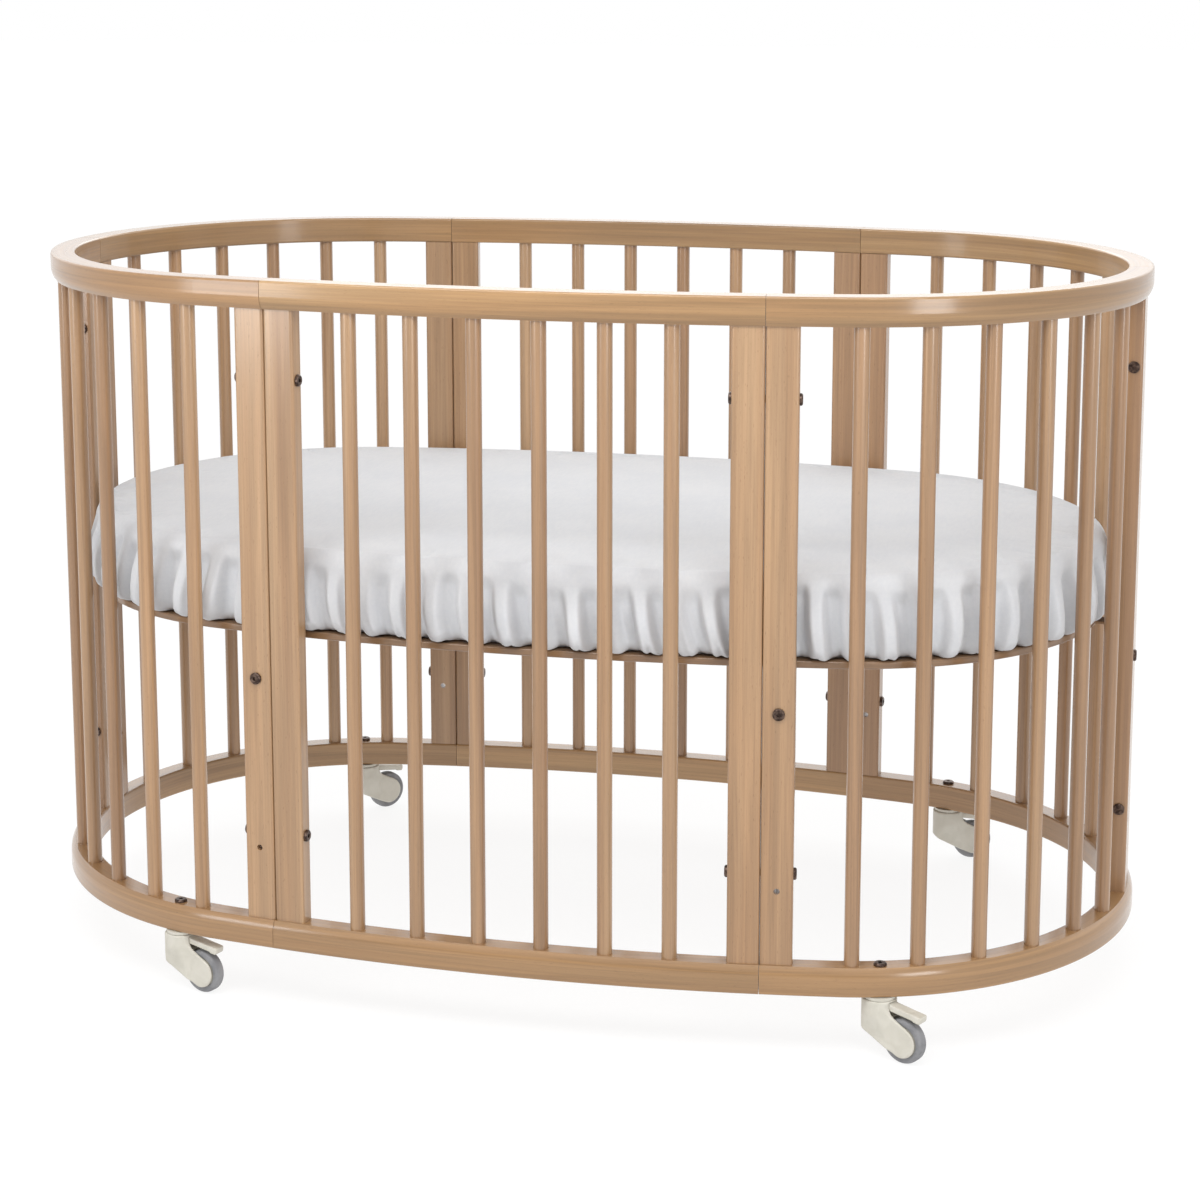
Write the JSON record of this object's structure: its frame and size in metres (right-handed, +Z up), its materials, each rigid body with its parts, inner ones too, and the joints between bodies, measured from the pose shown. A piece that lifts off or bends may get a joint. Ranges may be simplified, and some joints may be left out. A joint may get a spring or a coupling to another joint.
{
  "type": "baby crib",
  "caption": "Oval slatted beech baby crib in bolted sections, with a mattress on a slatted base and braked swivel casters.",
  "frame": {"origin": "on the floor under the crib's centre, the middle of the oval", "axes": "+X along the crib's length, +Y towards the rear side, +Z up"},
  "size_m": [1.28, 0.74, 0.808],
  "materials": {
    "beech_rail": "natural beech, clear satin lacquer",
    "beech_post": "natural beech, clear satin lacquer",
    "beech_slat": "natural beech, clear satin lacquer",
    "base_wood": "beech plywood, clear lacquer",
    "bolt_steel": "dark bronze plated",
    "bracket_steel": "bronze powder coat",
    "mattress_foam": "quilted cover over foam",
    "sheet_cotton": "plain woven white cotton",
    "caster_plastic": "moulded warm grey",
    "hub_plastic": "moulded warm grey",
    "tyre_rubber": "smooth grey tread",
    "axle_steel": "bright steel"
  },
  "bodies": {
    "frame": {"front_top_rail": "beech_rail", "rear_top_rail": "beech_rail", "front_left_top_rail": "beech_rail", "front_right_top_rail": "beech_rail", "rear_left_top_rail": "beech_rail", "rear_right_top_rail": "beech_rail", "front_bottom_rail": "beech_rail", "rear_bottom_rail": "beech_rail", "front_left_bottom_rail": "beech_rail", "front_right_bottom_rail": "beech_rail", "rear_left_bottom_rail": "beech_rail", "rear_right_bottom_rail": "beech_rail", "front_slats": "beech_slat", "rear_slats": "beech_slat", "front_left_slats": "beech_slat", "front_right_slats": "beech_slat", "rear_left_slats": "beech_slat", "rear_right_slats": "beech_slat", "front_post_left": "beech_post", "front_post_right": "beech_post", "rear_post_left": "beech_post", "rear_post_right": "beech_post", "front_right_side_post": "beech_post", "front_right_end_post": "beech_post", "front_left_side_post": "beech_post", "front_left_end_post": "beech_post", "rear_right_side_post": "beech_post", "rear_right_end_post": "beech_post", "rear_left_side_post": "beech_post", "rear_left_end_post": "beech_post", "connector_bolts": "bolt_steel", "connector_nuts": "bolt_steel", "base_rim": "base_wood", "base_boards": "base_wood", "base_brackets": "bracket_steel", "base_fasteners": "bolt_steel", "caster_bolts": "bolt_steel", "caster_collars": "caster_plastic"},
    "mattress": {"mattress": "mattress_foam", "fitted_sheet": "sheet_cotton"},
    "caster_front_right": {"front_right_caster_housing": "caster_plastic", "front_right_caster_pins": "axle_steel"},
    "wheel_front_right": {"front_right_wheel_hub": "hub_plastic", "front_right_tyre": "tyre_rubber"},
    "brake_front_right": {"front_right_brake_lever": "caster_plastic"},
    "caster_front_left": {"front_left_caster_housing": "caster_plastic", "front_left_caster_pins": "axle_steel"},
    "wheel_front_left": {"front_left_wheel_hub": "hub_plastic", "front_left_tyre": "tyre_rubber"},
    "brake_front_left": {"front_left_brake_lever": "caster_plastic"},
    "caster_rear_right": {"rear_right_caster_housing": "caster_plastic", "rear_right_caster_pins": "axle_steel"},
    "wheel_rear_right": {"rear_right_wheel_hub": "hub_plastic", "rear_right_tyre": "tyre_rubber"},
    "brake_rear_right": {"rear_right_brake_lever": "caster_plastic"},
    "caster_rear_left": {"rear_left_caster_housing": "caster_plastic", "rear_left_caster_pins": "axle_steel"},
    "wheel_rear_left": {"rear_left_wheel_hub": "hub_plastic", "rear_left_tyre": "tyre_rubber"},
    "brake_rear_left": {"rear_left_brake_lever": "caster_plastic"}
  },
  "joints": [
    {"name": "mattress_lift", "type": "slide", "parent": "frame", "child": "mattress", "axis": [0, 0, 1], "range_m": [0, 0.42]},
    {"name": "front_right_swivel", "type": "hinge", "parent": "frame", "child": "caster_front_right", "pos_m": [0.394, -0.31658, 0.05], "axis": [0, 0, 1], "continuous": true},
    {"name": "front_right_wheel_spin", "type": "hinge", "parent": "caster_front_right", "child": "wheel_front_right", "pos_m": [0.423, -0.33011, 0.024], "axis": [0.4226, 0.9063, 0], "continuous": true},
    {"name": "front_right_brake", "type": "hinge", "parent": "caster_front_right", "child": "brake_front_right", "pos_m": [0.40669, -0.3225, 0.0581], "axis": [0.4226, 0.9063, 0], "range_deg": [0, 6.5]},
    {"name": "front_left_swivel", "type": "hinge", "parent": "frame", "child": "caster_front_left", "pos_m": [-0.394, -0.31658, 0.05], "axis": [0, 0, 1], "continuous": true},
    {"name": "front_left_wheel_spin", "type": "hinge", "parent": "caster_front_left", "child": "wheel_front_left", "pos_m": [-0.36357, -0.32647, 0.024], "axis": [0.309, 0.9511, 0], "continuous": true},
    {"name": "front_left_brake", "type": "hinge", "parent": "caster_front_left", "child": "brake_front_left", "pos_m": [-0.38068, -0.32091, 0.0581], "axis": [0.309, 0.9511, 0], "range_deg": [0, 6.5]},
    {"name": "rear_right_swivel", "type": "hinge", "parent": "frame", "child": "caster_rear_right", "pos_m": [0.394, 0.31658, 0.05], "axis": [0, 0, 1], "continuous": true},
    {"name": "rear_right_wheel_spin", "type": "hinge", "parent": "caster_rear_right", "child": "wheel_rear_right", "pos_m": [0.42407, 0.32753, 0.024], "axis": [-0.342, 0.9397, 0], "continuous": true},
    {"name": "rear_right_brake", "type": "hinge", "parent": "caster_rear_right", "child": "brake_rear_right", "pos_m": [0.40716, 0.32137, 0.0581], "axis": [-0.342, 0.9397, 0], "range_deg": [0, 6.5]},
    {"name": "rear_left_swivel", "type": "hinge", "parent": "frame", "child": "caster_rear_left", "pos_m": [-0.394, 0.31658, 0.05], "axis": [0, 0, 1], "continuous": true},
    {"name": "rear_left_wheel_spin", "type": "hinge", "parent": "caster_rear_left", "child": "wheel_rear_left", "pos_m": [-0.37259, 0.34036, 0.024], "axis": [-0.7431, 0.6691, 0], "continuous": true},
    {"name": "rear_left_brake", "type": "hinge", "parent": "caster_rear_left", "child": "brake_rear_left", "pos_m": [-0.38463, 0.32699, 0.0581], "axis": [-0.7431, 0.6691, 0], "range_deg": [0, 6.5]}
  ]
}
